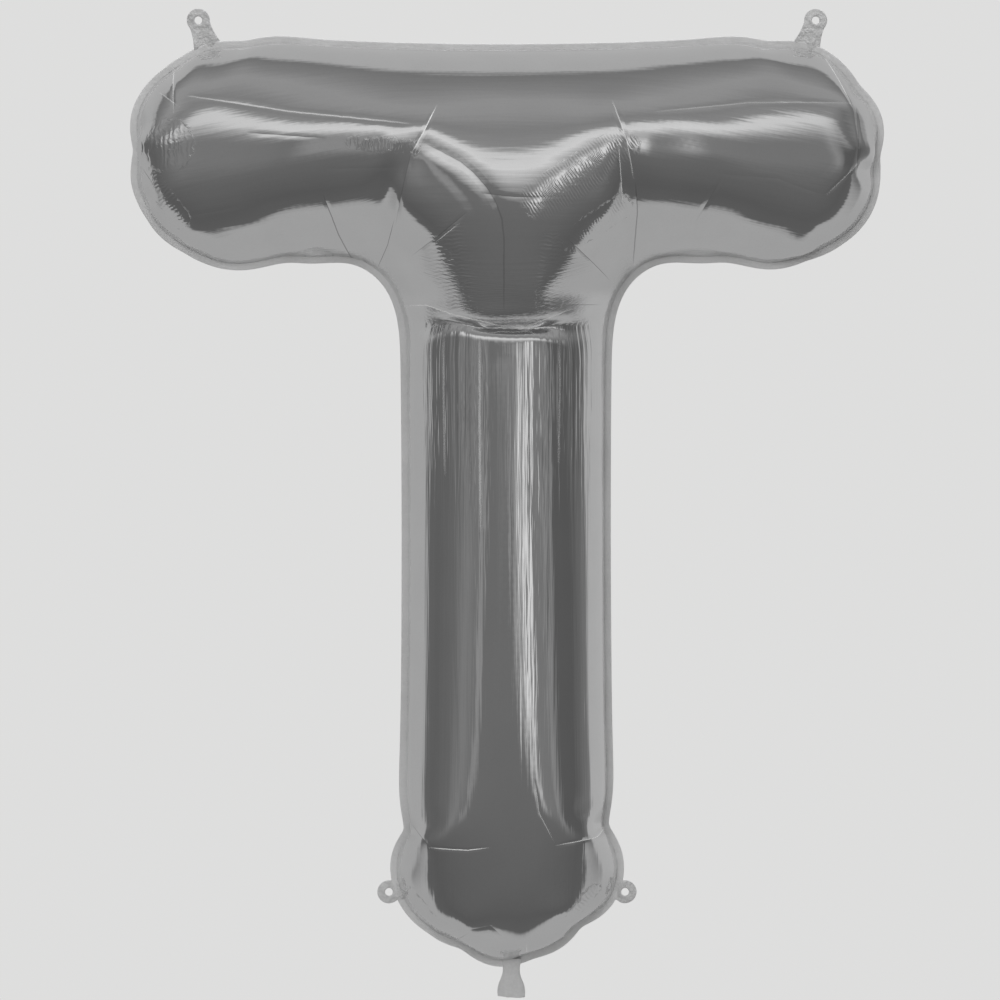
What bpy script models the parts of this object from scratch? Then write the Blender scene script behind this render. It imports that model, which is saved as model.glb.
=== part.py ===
# Inflated letter T foil balloon: two film panels, the heat sealed band that joins them,
# four punched hang tabs and a filling tail with its valve strip.
# Metres, +Z up, the letter's face towards -Y. The origin is where the axes of bar and stem cross.

import math

import bmesh
import bpy

# Driving dimensions, over the seam band
HEIGHT = 0.864
WIDTH = 0.702
BAR_HALF = 0.1045
STEM_HALF = 0.0985
FOOT_HALF = 0.108
ARM_END_HALF = 0.1065

# Films and the seam
FILM = 0.001
BAND_WIDTH = 0.006
BAND_LAP = 0.002
BAND_THICK = 0.0012
GAP = 0.0003

# A cubic surface passes inside its control points, so the points of round forms are set out by these
ROUND_OUT = 1.026
SHOULDER_ACROSS = 0.811
SHOULDER_DEPTH = 0.784
CROWN_DEPTH = 1.108

# Where the seam runs, and the cage's own counts
BAR_SEAM = BAR_HALF - BAND_WIDTH
STEM_SEAM = STEM_HALF - BAND_WIDTH
FOOT_SEAM = FOOT_HALF - BAND_WIDTH
ARM_END_SEAM = ARM_END_HALF - BAND_WIDTH
BOTTOM = BAR_HALF - HEIGHT + BAND_WIDTH
FOOT_CENTRE = BOTTOM + FOOT_SEAM
ARM_CENTRE = WIDTH / 2 - BAND_WIDTH - ARM_END_SEAM
STEM_COLUMNS = 2
ARM_COLUMNS = 4
STEM_ROWS = 12
BAR_ROWS = 4
RIM_Y = BAND_THICK / 2 + GAP

# Stem rows above the foot's cap. The last rows rise towards the seam and dip into the taut crease that the
# weight of the bar's film draws across the top of the stem.
STEM_TABLE = (
    # z, rise at the shoulder, rise at the seam, half_width, crown, shoulder's share of the crown
    (FOOT_CENTRE, 0.0, 0.0, FOOT_SEAM * 1.01, 0.067, 0.90),
    (-0.572, 0.0, 0.0, STEM_SEAM * 0.985, 0.080, SHOULDER_DEPTH),
    (-0.480, 0.0, 0.0, STEM_SEAM * 0.985, 0.0855, SHOULDER_DEPTH),
    (-0.380, 0.0, 0.0, STEM_SEAM * 0.985, 0.087, SHOULDER_DEPTH),
    (-0.280, 0.0, 0.0, STEM_SEAM * 0.985, 0.088, SHOULDER_DEPTH),
    (-0.200, 0.010, 0.018, STEM_SEAM * 0.985, 0.0875, SHOULDER_DEPTH),
    (-0.179, 0.012, 0.022, STEM_SEAM * 0.985, 0.0865, 0.78),
    (-0.169, 0.013, 0.022, STEM_SEAM * 0.990, 0.0810, 0.60),
    (-0.159, 0.015, 0.022, STEM_SEAM * 1.000, 0.0910, 0.80),
    (-0.136, 0.012, 0.016, STEM_SEAM * 1.010, 0.0985, 0.86),
)

# Junction rows, from the foot of the bar up: share of the bar's half height and three depths
JUNCTION_TABLE = (
    # z_share, depth at the middle, at the stem's shoulder, above the stem's edge
    (-1.0, 0.116, 0.097, 0.0),
    (-SHOULDER_ACROSS, 0.122, 0.108, 0.068),
    (0.0, 0.125, 0.124, 0.118),
    (SHOULDER_ACROSS, 0.077, 0.077, 0.077),
    (1.0, 0.0, 0.0, 0.0),
)

# Arm columns between the junction and the end's cap: x, half height and crown depth
ARM_TABLE = (
    # x, half_height, crown
    (0.162, BAR_SEAM * 0.985, 0.094),
    (ARM_CENTRE, ARM_END_SEAM * 1.01, 0.0685),
)

# The dome of a stroke's end, as shares of its radius and depth
CAP_STEP = math.radians(22.5)
CAP_MIDDLE_IN = 0.66
CAP_DIAGONAL_IN = 0.72
CAP_MIDDLE_DEPTH = 0.80
CAP_DIAGONAL_DEPTH = 0.74

# Hang tabs
TAB_RING = 0.010
TAB_HOLE = 0.0035
TAB_NECK_HALF = 0.0075
TAB_TABLE = (
    # name, side, centre_x, centre_z, angle in degrees, reach from that centre
    ("hang_tab_top_left", -1, ARM_CENTRE, 0.0, 70.5, 0.1275),
    ("hang_tab_top_right", 1, ARM_CENTRE, 0.0, 70.5, 0.1275),
    ("hang_tab_foot_left", -1, 0.0, FOOT_CENTRE, -19.5, 0.1165),
    ("hang_tab_foot_right", 1, 0.0, FOOT_CENTRE, -19.5, 0.1165),
)

# Filling tail, downwards from the seam band
TAIL_X = 0.004
TAIL_WALL = 0.0005
TAIL_TABLE = (
    # drop, half_width, half_thickness
    (0.000, 0.0072, 0.0014),
    (0.008, 0.0078, 0.0014),
    (0.015, 0.0112, 0.0017),
    (0.021, 0.0126, 0.0020),
    (0.028, 0.0124, 0.0023),
)
VALVE_HALF_WIDTH = 0.005
VALVE_THICK = 0.0008
VALVE_LENGTH = 0.0265

# Film colours: name, linear colour, roughness
FOIL = ("silver_foil", (0.74, 0.74, 0.75, 1.0), 0.14)
SEAL = ("sealed_foil", (0.66, 0.66, 0.67, 1.0), 0.24)
VALVE_FILM = ("valve_film", (0.80, 0.81, 0.82, 1.0), 0.30)


def clear_scene():
    for old in list(bpy.data.objects):
        bpy.data.objects.remove(old, do_unlink=True)


def new_collection(name):
    collection = bpy.data.collections.new(name)
    bpy.context.scene.collection.children.link(collection)
    return collection


def new_material(name, look):
    material = bpy.data.materials.new(name)
    material.use_nodes = True
    shader = material.node_tree.nodes["Principled BSDF"]
    shader.inputs["Base Color"].default_value = look[1]
    shader.inputs["Metallic"].default_value = 0.0 if look is VALVE_FILM else 1.0
    shader.inputs["Roughness"].default_value = look[2]
    return material


def add_object(name, data, look, collection):
    """A sub-part with its own material, shaded smooth."""
    item = bpy.data.objects.new(name, data)
    data.materials.append(new_material(name + "_material", look))
    collection.objects.link(item)
    return item


def on_cap(radius, angle):
    """A control point on a stroke's rounded end, from the end's own centre."""
    return radius * ROUND_OUT * math.cos(angle), radius * ROUND_OUT * math.sin(angle)


def foot_point(column, row):
    """Cage point (x, z, depth) on the stem's rounded foot, rows 0 and 1."""
    if column == STEM_COLUMNS or row == 0:
        steps = (STEM_COLUMNS - column) + (2 - row if column == STEM_COLUMNS else 2)
        x, z = on_cap(FOOT_SEAM, -CAP_STEP * steps)
        return x, FOOT_CENTRE + z, 0.0
    crown = STEM_TABLE[0][4]
    if column == 0:
        return 0.0, FOOT_CENTRE - FOOT_SEAM * CAP_MIDDLE_IN, crown * CAP_MIDDLE_DEPTH
    share = CAP_DIAGONAL_IN * FOOT_SEAM * math.sqrt(0.5)
    return share, FOOT_CENTRE - share, crown * CAP_DIAGONAL_DEPTH


def arm_end_point(column, level):
    """Cage point on the arm's rounded end. Column 1 is half way out and 2 is the end itself."""
    side = level - 2
    if column == 2 or abs(side) == 2:
        angle = CAP_STEP * (side if column == 2 else side * 1.5)
        x, z = on_cap(ARM_END_SEAM, angle)
        return ARM_CENTRE + x, z, 0.0
    crown = ARM_TABLE[-1][2]
    if side == 0:
        return ARM_CENTRE + ARM_END_SEAM * CAP_MIDDLE_IN, 0.0, crown * CAP_MIDDLE_DEPTH
    share = CAP_DIAGONAL_IN * ARM_END_SEAM * math.sqrt(0.5)
    return ARM_CENTRE + share, side * share, crown * CAP_DIAGONAL_DEPTH


def tube_point(level, half, crown, shoulder=SHOULDER_DEPTH):
    """Place across a tube and its depth: level 0 is the middle, 1 the shoulder, 2 the seam."""
    across = (0.0, SHOULDER_ACROSS, 1.0)[level] * half
    depth = (CROWN_DEPTH, shoulder, 0.0)[level] * crown
    return across, depth


def cage_point(column, row):
    """Cage point (x, z, depth) of the right half, from the grid's column and row."""
    if row < 2:
        return foot_point(column, row)
    if row < STEM_ROWS:
        z, shoulder_rise, seam_rise, half, crown, shoulder = STEM_TABLE[row - 2]
        x, depth = tube_point(column, half, crown, shoulder)
        return x, z + (0.0, shoulder_rise, seam_rise)[column], depth
    level = row - STEM_ROWS
    share, *depths = JUNCTION_TABLE[level]
    if column <= STEM_COLUMNS:
        x = (0.0, SHOULDER_ACROSS, 1.0)[column] * STEM_SEAM
        return x, share * BAR_SEAM, depths[column]
    if column <= STEM_COLUMNS + len(ARM_TABLE):
        x, half, crown = ARM_TABLE[column - STEM_COLUMNS - 1]
        across, depth = tube_point(abs(level - 2), half, crown)
        return x, math.copysign(across, level - 2), depth
    return arm_end_point(column - STEM_COLUMNS - len(ARM_TABLE), level)


def panel(name, facing, collection):
    """One inflated film: a T shaped grid set out as a coarse cage, mirrored, subdivided and thickened."""
    columns = STEM_COLUMNS + ARM_COLUMNS
    rows = STEM_ROWS + BAR_ROWS
    cage = bmesh.new()
    bmesh.ops.create_grid(cage, x_segments=columns, y_segments=rows, size=0.5)
    place = {v: (round((v.co.x + 0.5) * columns), round((v.co.y + 0.5) * rows)) for v in cage.verts}
    beside = [
        face
        for face in cage.faces
        if max(place[v][0] for v in face.verts) > STEM_COLUMNS
        and max(place[v][1] for v in face.verts) <= STEM_ROWS
    ]
    bmesh.ops.delete(cage, geom=beside, context="FACES")
    for vertex in cage.verts:
        x, z, depth = cage_point(*place[vertex])
        vertex.co = (x, facing * (RIM_Y + depth), z)
    bmesh.ops.recalc_face_normals(cage, faces=cage.faces)
    if sum(face.normal.y for face in cage.faces) * facing < 0:
        bmesh.ops.reverse_faces(cage, faces=cage.faces)
    data = bpy.data.meshes.new(name)
    cage.to_mesh(data)
    cage.free()
    data.shade_smooth()
    item = add_object(name, data, FOIL, collection)
    halves = item.modifiers.new("both_halves", "MIRROR")
    halves.use_axis = (True, False, False)
    halves.use_clip = True
    halves.merge_threshold = 0.0001
    soft = item.modifiers.new("inflated", "SUBSURF")
    soft.levels = 2
    soft.render_levels = 2
    film = item.modifiers.new("film", "SOLIDIFY")
    film.thickness = FILM
    film.offset = 1.0


def seam_outline():
    """Control points (x, z) of the seam, from the foot's middle up the right side to the bar's middle."""
    foot = [(column, 0) for column in range(STEM_COLUMNS + 1)]
    stem = [(STEM_COLUMNS, row) for row in range(1, STEM_ROWS + 1)]
    last = STEM_COLUMNS + ARM_COLUMNS
    under = [(column, STEM_ROWS) for column in range(STEM_COLUMNS + 1, last + 1)]
    end = [(last, STEM_ROWS + level) for level in range(1, BAR_ROWS + 1)]
    over = [(column, STEM_ROWS + BAR_ROWS) for column in range(last - 1, -1, -1)]
    return [cage_point(*place)[:2] for place in foot + stem + under + end + over]


def full_loop(half):
    """The whole outline from its right half, whose first and last points lie on the middle plane."""
    return half + [(-x, z) for x, z in half[-2:0:-1]]


def offset_loop(points, distance):
    """The outline moved outwards, each point along the normal of its neighbours' chord."""
    moved = []
    for i, (x, z) in enumerate(points):
        before = points[i - 1]
        after = points[(i + 1) % len(points)]
        dx, dz = after[0] - before[0], after[1] - before[1]
        length = math.hypot(dx, dz)
        moved.append((x + distance * dz / length, z - distance * dx / length))
    return moved


def flat_sheet(name, thickness):
    """An empty flat curve that stands in the plane of the letter."""
    outline = bpy.data.curves.new(name, "CURVE")
    outline.dimensions = "2D"
    outline.fill_mode = "BOTH"
    outline.extrude = thickness / 2
    return outline


def add_spline(outline, points, kind):
    spline = outline.splines.new(kind)
    spline.points.add(len(points) - 1)
    for target, (x, z) in zip(spline.points, points):
        target.co = (x, z, 0.0, 1.0)
    if kind == "NURBS":
        spline.order_u = 4
        spline.resolution_u = 4
    spline.use_cyclic_u = True


def seam_band(collection):
    """The flat weld where both films are sealed together, all round the letter."""
    loop = full_loop(seam_outline())
    outline = flat_sheet("seam_band", BAND_THICK)
    add_spline(outline, offset_loop(loop, BAND_WIDTH), "NURBS")
    add_spline(outline, offset_loop(loop, -BAND_LAP), "NURBS")
    item = add_object("seam_band", outline, SEAL, collection)
    item.rotation_euler = (math.pi / 2, 0.0, 0.0)


def circle(radius, count):
    turn = 2 * math.pi / count
    return [(radius * math.cos(i * turn), radius * math.sin(i * turn)) for i in range(count)]


def tab_outline(reach, inner):
    """A tongue with a round end, its root at the seam band, set along local +X from its hole."""
    spread = math.asin(TAB_NECK_HALF / TAB_RING)
    count = 18
    start, sweep = math.pi - spread, 2 * (math.pi - spread)
    around = [start - sweep * i / count for i in range(count + 1)]
    ring = [(TAB_RING * math.cos(a), TAB_RING * math.sin(a)) for a in around]
    root = inner - reach
    return [(root, TAB_NECK_HALF)] + ring + [(root, -TAB_NECK_HALF)]


def hang_tab(name, side, centre_x, centre_z, degrees, reach, collection):
    """A punched tab on the outer edge of the seam band."""
    edge = FOOT_HALF if centre_x == 0.0 else ARM_END_HALF
    outline = flat_sheet(name, BAND_THICK)
    add_spline(outline, tab_outline(reach, edge + GAP), "POLY")
    add_spline(outline, circle(TAB_HOLE, 16), "POLY")
    angle = math.radians(degrees)
    item = add_object(name, outline, SEAL, collection)
    item.location = (side * (centre_x + reach * math.cos(angle)), 0.0, centre_z + reach * math.sin(angle))
    turn = angle if side > 0 else math.pi - angle
    item.rotation_euler = (math.pi / 2, -turn, 0.0)


def fill_tail(collection):
    """A flat sleeve that widens to its mouth, open at both ends."""
    count = 20
    tail = bmesh.new()
    ring = bmesh.ops.create_circle(tail, segments=count, radius=1.0, cap_ends=False)["verts"]
    for step, (drop, half_width, half_thick) in enumerate(TAIL_TABLE):
        if step:
            edges = list({edge for v in ring for edge in v.link_edges if edge.is_boundary or edge.is_wire})
            made = bmesh.ops.extrude_edge_only(tail, edges=edges)["geom"]
            ring = [v for v in made if isinstance(v, bmesh.types.BMVert)]
        for i, v in enumerate(ring):
            angle = math.atan2(v.co.y, v.co.x) if step == 0 else tail_angle(v, TAIL_TABLE[step - 1])
            v.co = (
                TAIL_X + half_width * math.cos(angle),
                half_thick * math.sin(angle),
                BOTTOM - BAND_WIDTH - GAP - drop,
            )
    bmesh.ops.recalc_face_normals(tail, faces=tail.faces)
    data = bpy.data.meshes.new("fill_tail")
    tail.to_mesh(data)
    tail.free()
    data.shade_smooth()
    item = add_object("fill_tail", data, SEAL, collection)
    wall = item.modifiers.new("film", "SOLIDIFY")
    wall.thickness = TAIL_WALL
    wall.offset = -1.0


def tail_angle(vertex, station):
    """The place of a vertex around the sleeve, read back from the station it was extruded from."""
    return math.atan2(vertex.co.y / station[2], (vertex.co.x - TAIL_X) / station[1])


def valve_strip(collection):
    """The end of the one-way valve, a flat strip between the tail's films."""
    strip = bmesh.new()
    bmesh.ops.create_cube(strip, size=1.0)
    middle = BOTTOM - BAND_WIDTH - GAP - VALVE_LENGTH / 2
    for v in strip.verts:
        v.co = (
            TAIL_X + v.co.x * 2 * VALVE_HALF_WIDTH,
            v.co.y * VALVE_THICK,
            middle + v.co.z * VALVE_LENGTH,
        )
    data = bpy.data.meshes.new("valve_strip")
    strip.to_mesh(data)
    strip.free()
    add_object("valve_strip", data, VALVE_FILM, collection)


def build():
    clear_scene()
    parts = new_collection("letter_foil_balloon")
    panel("front_panel", -1, parts)
    panel("back_panel", 1, parts)
    seam_band(parts)
    for row in TAB_TABLE:
        hang_tab(*row, parts)
    fill_tail(parts)
    valve_strip(parts)


build()
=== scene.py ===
# %% [markdown]
# # Letter T foil balloon
# A silver letter balloon is two flat films of metallised nylon, cut to a wide T and welded together round
# the rim. Nothing in it is curved when it is made: the gas rounds the strokes into tubes, draws the outline
# in and throws the puckers and creases. So the films here start flat too, and are blown up.

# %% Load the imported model
import math
import bpy
import bmesh
import numpy as np
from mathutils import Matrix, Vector
from mathutils.geometry import delaunay_2d_cdt


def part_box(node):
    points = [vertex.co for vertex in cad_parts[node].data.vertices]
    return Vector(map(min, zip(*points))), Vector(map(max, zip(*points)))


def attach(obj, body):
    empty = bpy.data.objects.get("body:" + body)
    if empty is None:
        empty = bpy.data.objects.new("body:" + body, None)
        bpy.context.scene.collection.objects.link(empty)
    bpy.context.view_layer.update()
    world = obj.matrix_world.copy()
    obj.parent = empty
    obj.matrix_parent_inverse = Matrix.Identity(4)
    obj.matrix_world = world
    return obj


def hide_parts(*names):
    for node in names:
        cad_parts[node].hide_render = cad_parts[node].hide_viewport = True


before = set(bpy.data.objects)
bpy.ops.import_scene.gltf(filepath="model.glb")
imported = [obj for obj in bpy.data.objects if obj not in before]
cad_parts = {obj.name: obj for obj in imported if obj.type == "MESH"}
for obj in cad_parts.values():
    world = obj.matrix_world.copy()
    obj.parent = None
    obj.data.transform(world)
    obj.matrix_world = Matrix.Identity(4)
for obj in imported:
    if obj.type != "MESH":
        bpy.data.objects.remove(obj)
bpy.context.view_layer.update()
band_low, band_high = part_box("seam_band")
print("packed nodes:", sorted(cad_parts))
print("the letter without tabs and tail:", [round(v, 4) for v in band_high - band_low])


# %% [markdown]
# ## Helpers
# Operators act on all that is selected, so each step first clears the selection. The shader helpers place one
# node each: a value may be a number, a tuple or another node's output, and the helper links or sets it.

# %% Pieces
def select_only(piece):
    bpy.ops.object.select_all(action="DESELECT")
    piece.select_set(True)
    bpy.context.view_layer.objects.active = piece


def apply_all(piece):
    """Applies every modifier of the piece, in order."""
    select_only(piece)
    for modifier in list(piece.modifiers):
        bpy.ops.object.modifier_apply(modifier=modifier.name)


def add_object(name, data):
    made = bpy.data.objects.new(name, data)
    bpy.context.scene.collection.objects.link(made)
    return made


def add_mesh(name, points, faces):
    data = bpy.data.meshes.new(name)
    data.from_pydata(points, [], faces)
    return add_object(name, data)


def add_wall(piece, thickness, offset):
    """A wall inwards where offset is -1, to both sides where it is 0."""
    wall = piece.modifiers.new("wall", "SOLIDIFY")
    wall.thickness, wall.offset = thickness, offset


def add_rounding(piece, levels):
    rounding = piece.modifiers.new("rounding", "SUBSURF")
    rounding.levels = rounding.render_levels = levels


def face_outwards(piece):
    select_only(piece)
    bpy.ops.object.mode_set(mode="EDIT")
    bpy.ops.mesh.select_all(action="SELECT")
    bpy.ops.mesh.normals_make_consistent(inside=False)
    bpy.ops.object.mode_set(mode="OBJECT")


def triangles(piece):
    return sum(len(face.vertices) - 2 for face in piece.data.polygons)


# %% Values on points
def carry(mesh, label, values):
    """Stores one number for each point, which the finish reads."""
    made = mesh.attributes.new(label, "FLOAT", "POINT")
    made.data.foreach_set("value", values.astype(np.float32))


def front_places(piece):
    """Where the front view shows each point, as x and z."""
    return np.array([(v.co.x, v.co.z) for v in piece.data.vertices])


def bell(gap, width):
    """1 where the gap is nothing, falling softly to about 0 at twice the width."""
    return np.exp(-(gap / width) ** 2)


# %% Shader nodes
def fill(tree, node, values):
    """Links or sets inputs of a node."""
    for name, value in values.items():
        if isinstance(value, bpy.types.NodeSocket):
            tree.links.new(value, node.inputs[name])
        else:
            node.inputs[name].default_value = value
    return node


def place(tree, kind, values=None, **settings):
    """Adds one node, sets its settings and fills its inputs."""
    made = tree.nodes.new(kind)
    for name, value in settings.items():
        setattr(made, name, value)
    return fill(tree, made, values or {})


def calculate(tree, operation, *values):
    return place(tree, "ShaderNodeMath", dict(enumerate(values)), operation=operation).outputs[0]


def calculate_vector(tree, operation, *values, output=0):
    return place(tree, "ShaderNodeVectorMath", dict(enumerate(values)), operation=operation).outputs[output]


def map_range(tree, value, low=0.0, high=1.0, to_low=0.0, to_high=1.0, soft=False):
    """Turns the range from low to high into another and holds both ends."""
    values = {"Value": value, "From Min": low, "From Max": high, "To Min": to_low, "To Max": to_high}
    kind = "SMOOTHSTEP" if soft else "LINEAR"
    return place(tree, "ShaderNodeMapRange", values, interpolation_type=kind).outputs[0]


def mix_colours(tree, share, first, second):
    return place(tree, "ShaderNodeMix", {0: share, 6: first, 7: second}, data_type="RGBA").outputs[2]


def noise(tree, spot, scale, detail):
    values = {"Vector": spot, "Scale": scale, "Detail": detail}
    return place(tree, "ShaderNodeTexNoise", values).outputs["Fac"]


def object_place(tree):
    return place(tree, "ShaderNodeTexCoord").outputs["Object"]


def bump(tree, height):
    """The normal of a surface whose heights are in metres."""
    values = {"Height": height, "Strength": 1.0, "Distance": 1.0}
    return place(tree, "ShaderNodeBump", values).outputs["Normal"]


def new_group(name, sockets_in, sockets_out):
    """A shader group with named sockets. A socket is (name, kind, default)."""
    tree = bpy.data.node_groups.new(name, "ShaderNodeTree")
    for label, kind, default in sockets_in:
        socket = tree.interface.new_socket(name=label, in_out="INPUT", socket_type="NodeSocket" + kind)
        socket.default_value = default
    for label, kind in sockets_out:
        tree.interface.new_socket(name=label, in_out="OUTPUT", socket_type="NodeSocket" + kind)
    return tree, tree.nodes.new("NodeGroupInput").outputs, tree.nodes.new("NodeGroupOutput").inputs


def use_group(tree, group, values):
    return place(tree, "ShaderNodeGroup", values, node_tree=group).outputs


def new_material(name):
    material = bpy.data.materials.new(name)
    material.use_nodes = True
    return material, material.node_tree, material.node_tree.nodes["Principled BSDF"]


def plain(grey):
    return (grey, grey, grey, 1)


def linear(grey):
    """A grey from 0 to 255, as seen on a screen, as linear light."""
    share = grey / 255
    return share / 12.92 if share <= 0.04045 else ((share + 0.055) / 1.055) ** 2.4


# %% [markdown]
# ## Studio
# A mirror has no look of its own: it shows the room. The photograph's room is a pale backdrop behind the
# balloon, a dim space in front, and a few tall and wide strips of light. From the front, every tube's outer
# sixth mirrors the backdrop as a light band, and its middle mirrors the dim space with the strips in it.
# The room is therefore painted on the world by direction, with no cards that another camera could run into:
# strips that stand upright where a direction is level, and strips that lie along the bar above and below.
# The floor is a pale disc well below the balloon, which is why the level camera doesn't see it.

# %% Camera
PHOTO_SPAN = 0.930                 # what the picture is wide and tall, in the seam plane
CAMERA_REACH = 4.0
PICTURE_CENTRE = (-0.0065, -0.326)
SENSOR = 36.0

camera_data = bpy.data.cameras.new("camera")
camera_data.sensor_width = SENSOR
camera_data.lens = SENSOR * CAMERA_REACH / PHOTO_SPAN
camera = add_object("camera", camera_data)
camera.location = (PICTURE_CENTRE[0], -CAMERA_REACH, PICTURE_CENTRE[1])
camera.rotation_euler = (math.pi / 2, 0, 0)
bpy.context.scene.camera = camera
bpy.context.scene.view_settings.view_transform = "Standard"
print("lens:", round(camera_data.lens, 1), "mm")

# %% The room, by direction
BACKDROP_GREY = 222
FOIL_TONE = 0.84                   # how much light the film gives back
STEEP_RANGE = (0.12, 0.42)         # steepness over which the upright strips take over

# Greys are those that the film shows. Angles are degrees away from the camera's side of the room.
SIDEWAYS = [  # angle, grey: left is negative, right is positive
    (-180, 140), (-150, 158), (-112, 160), (-106, 154), (-101, 96), (-85, 92), (-62, 100), (-46, 120),
    (-34, 108), (-31, 135), (-27, 132), (-24, 104), (-12, 104), (0, 114), (12, 140), (18, 164), (21, 212),
    (26, 208), (30, 118), (42, 112), (47, 132), (53, 112), (57, 86), (78, 84), (97, 104), (103, 110),
    (109, 166), (150, 168), (180, 140)]
UPRIGHT = [  # angle, grey: below is negative, above is positive
    (-180, 140), (-150, 156), (-84, 158), (-79, 150), (-75, 90), (-60, 86), (-30, 97), (-3, 104), (2, 112),
    (10, 140), (16, 170), (24, 204), (31, 196), (36, 132), (45, 124), (58, 140), (68, 142), (84, 124),
    (99, 112), (106, 164), (150, 168), (180, 140)]


def ramp(tree, angle, stops, name):
    """A colour ramp over -180 to 180 degrees."""
    made = place(tree, "ShaderNodeValToRGB", {"Fac": map_range(tree, angle, -math.pi, math.pi)}, label=name)
    points = made.color_ramp.elements
    while len(points) < len(stops):
        points.new(0.5)
    for point, (degrees, grey) in zip(points, stops):
        point.position = (degrees + 180) / 360
        point.color = plain(linear(grey) / FOIL_TONE)
    return made.outputs["Color"]


world = bpy.data.worlds.new("studio")
bpy.context.scene.world = world
world.use_nodes = True
tree = world.node_tree
tree.nodes.clear()
direction = place(tree, "ShaderNodeTexCoord").outputs["Generated"]
part = place(tree, "ShaderNodeSeparateXYZ", {"Vector": direction}).outputs
ahead = calculate(tree, "MULTIPLY", part["Y"], -1.0)
sideways = ramp(tree, calculate(tree, "ARCTAN2", part["X"], ahead), SIDEWAYS, "left to right")
upright = ramp(tree, calculate(tree, "ARCTAN2", part["Z"], ahead), UPRIGHT, "below to above")
wide, tall = calculate(tree, "ABSOLUTE", part["X"]), calculate(tree, "ABSOLUTE", part["Z"])
steep = calculate(tree, "DIVIDE", tall, calculate(tree, "MAXIMUM", calculate(tree, "ADD", wide, tall), 1e-6))
room = mix_colours(tree, map_range(tree, steep, *STEEP_RANGE, soft=True), sideways, upright)
seen_room = place(tree, "ShaderNodeBackground", {"Color": room, "Strength": 1.0}).outputs[0]
pale = linear(BACKDROP_GREY)
seen_straight = place(tree, "ShaderNodeBackground", {"Color": (pale, pale, pale * 0.995, 1)}).outputs[0]
from_camera = place(tree, "ShaderNodeLightPath").outputs["Is Camera Ray"]
both = place(tree, "ShaderNodeMixShader", {0: from_camera, 1: seen_room, 2: seen_straight})
place(tree, "ShaderNodeOutputWorld", {"Surface": both.outputs[0]})
print("room stops:", len(SIDEWAYS), "sideways and", len(UPRIGHT), "upright")

# %% Floor and the soft light over it
FLOOR_Z = -1.15
FLOOR_RADIUS = 2.2
FLOOR_FADE = (1.3, 2.1)            # radii between which the floor fades into the room

bpy.ops.object.select_all(action="DESELECT")
bpy.ops.mesh.primitive_circle_add(vertices=96, radius=FLOOR_RADIUS, fill_type="NGON",
                                  location=(0, 0, FLOOR_Z))
floor = bpy.context.object
floor.name = "floor"
bpy.ops.object.transform_apply(location=True)
floor_material, tree, paint = new_material("floor_pale")
spot = object_place(tree)
tint = place(tree, "ShaderNodeValToRGB", {"Fac": noise(tree, spot, 9.0, 6.0)})
tint.color_ramp.elements[0].color = (0.74, 0.74, 0.735, 1)
tint.color_ramp.elements[1].color = (0.80, 0.80, 0.795, 1)
away = calculate_vector(tree, "LENGTH", calculate_vector(tree, "MULTIPLY", spot, (1, 1, 0)), output="Value")
fill(tree, paint, {"Base Color": tint.outputs["Color"], "Roughness": 0.9,
                   "Alpha": map_range(tree, away, *FLOOR_FADE, 1.0, 0.0, soft=True)})
floor.data.materials.append(floor_material)
floor.visible_glossy = False


def soft_light(name, place_at, aim, size, power):
    """A large soft area light. It lights the floor and the dull parts and stays out of the mirror."""
    data = bpy.data.lights.new(name, "AREA")
    data.shape = "RECTANGLE"
    data.size, data.size_y = size
    data.energy = power
    light = add_object(name, data)
    light.location = place_at
    light.rotation_mode = "QUATERNION"
    light.rotation_quaternion = (Vector(aim) - Vector(place_at)).to_track_quat("-Z", "Y")
    light.visible_glossy = False


soft_light("overhead_softbox", (0, 0, 2.4), (0, 0, -1), (3.2, 3.2), 105)
soft_light("front_softbox", (-0.8, -3.2, 1.2), (0, 0, -0.3), (1.6, 1.6), 42)
print("floor at", FLOOR_Z, "with radius", FLOOR_RADIUS)


# %% [markdown]
# ## The flat pattern
# The films are cut from a table of the letter's strokes. Blowing up a flat strip makes a tube whose width is
# about two thirds of the strip, so the pattern is wider and taller than the balloon. Both strokes are equally
# wide, their ends are nearly half circles, and the two inner corners are rounded with a wide radius, which
# draws in to the tighter corner that shows. The bar's lower edge is cut a little deeper half way along each
# arm, because the tube draws in most there. The outline goes once round the weld, seen from the front.

# %% Pattern measures
STEM_FLAT = 0.280                  # width of the stem's strip
BAR_FLAT = 0.286                   # height of the bar's strip
LENGTH_FLAT = 0.768                # length of the bar, weld to weld
TALL_FLAT = 0.981                  # from the top of the bar to the foot
CORNER_FLAT = 0.085                # radius of the two inner corners
FOOT_CAP = 0.99 * STEM_FLAT / 2    # radius of the stem's end
ARM_CAP = 0.93 * BAR_FLAT / 2      # radius of the bar's ends
FOOT_EASE = 0.03                   # length over which the stem narrows to its cap
ARM_EASE = 0.025                   # the same at the bar's ends
ARM_LIFT = 0.5                     # share of the narrowing that comes off the lower edge
ARM_HIP = 0.0020                   # how much deeper the bar's lower edge is cut half way along each arm
HIP_PLACE, HIP_SPREAD = 0.250, 0.045
HIP_CLEARANCE = 0.02               # how far from the stem that cut starts
AXIS_FLAT = TALL_FLAT - BAR_FLAT / 2   # height of the bar's middle
ARM_CAP_PLACE = (LENGTH_FLAT / 2 - ARM_CAP, AXIS_FLAT + ARM_LIFT * (BAR_FLAT / 2 - ARM_CAP))
SEAM_WIDTH = 0.006
SEAM_STEP = 0.0075                 # spacing of the points, on the weld and inside
CLEAR_OF_WELD = 0.62               # steps that an inner point keeps from the weld


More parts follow.
